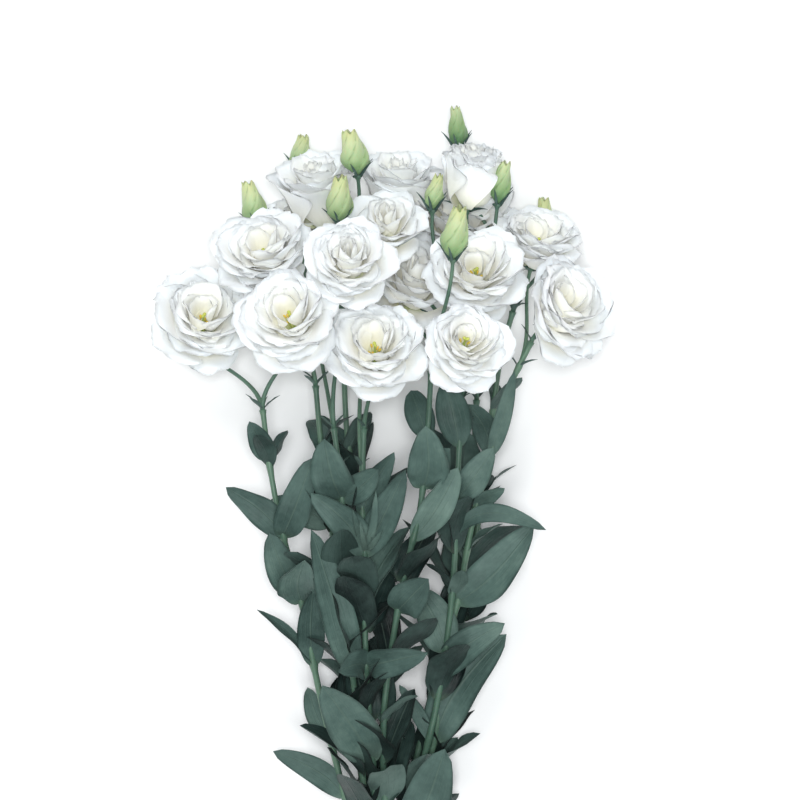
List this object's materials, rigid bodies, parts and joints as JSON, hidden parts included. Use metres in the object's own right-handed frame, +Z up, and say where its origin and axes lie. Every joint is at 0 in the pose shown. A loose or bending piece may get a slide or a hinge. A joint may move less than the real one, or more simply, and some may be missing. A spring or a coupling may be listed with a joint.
{
  "type": "lisianthus flower bunch",
  "caption": "Tied bunch of cut white double lisianthus lying down: leafy stems, ruffled rose-like blooms with yellow-green hearts, and furled green-white buds.",
  "frame": {"origin": "middle of the flat underside of the tie, on the surface the bunch lies on", "axes": "+Y along the stems from the cut ends to the flowers, +Z up from the surface, +X to the right as the picture shows the bunch"},
  "size_m": [0.3215, 0.6767, 0.1395],
  "materials": {
    "green": "satin",
    "petal": "matte",
    "bud": "satin",
    "stamen": "matte",
    "tie": "matte"
  },
  "bodies": {
    "root": {"bloom_01": "petal", "bloom_02": "petal", "bloom_03": "petal", "bloom_04": "petal", "bloom_05": "petal", "bloom_06": "petal", "bloom_07": "petal", "bloom_08": "petal", "bloom_09": "petal", "bloom_10": "petal", "bloom_11": "petal", "bloom_12": "petal", "bloom_13": "petal", "bloom_14": "petal", "bloom_15": "petal", "bloom_16": "petal", "bud_01": "bud", "bud_02": "bud", "bud_03": "bud", "bud_04": "bud", "bud_05": "bud", "bud_06": "bud", "bud_07": "bud", "bud_08": "bud", "bud_09": "bud", "stamens_01": "stamen", "stamens_02": "stamen", "stamens_03": "stamen", "stamens_05": "stamen", "stamens_06": "stamen", "stamens_07": "stamen", "stamens_08": "stamen", "stamens_09": "stamen", "stem_a": "green", "stem_b": "green", "stem_c": "green", "stem_d": "green", "stem_e": "green", "stem_f": "green", "stem_g": "green", "stem_h": "green", "stem_i": "green", "stem_j": "green", "tie": "tie"}
  },
  "joints": []
}
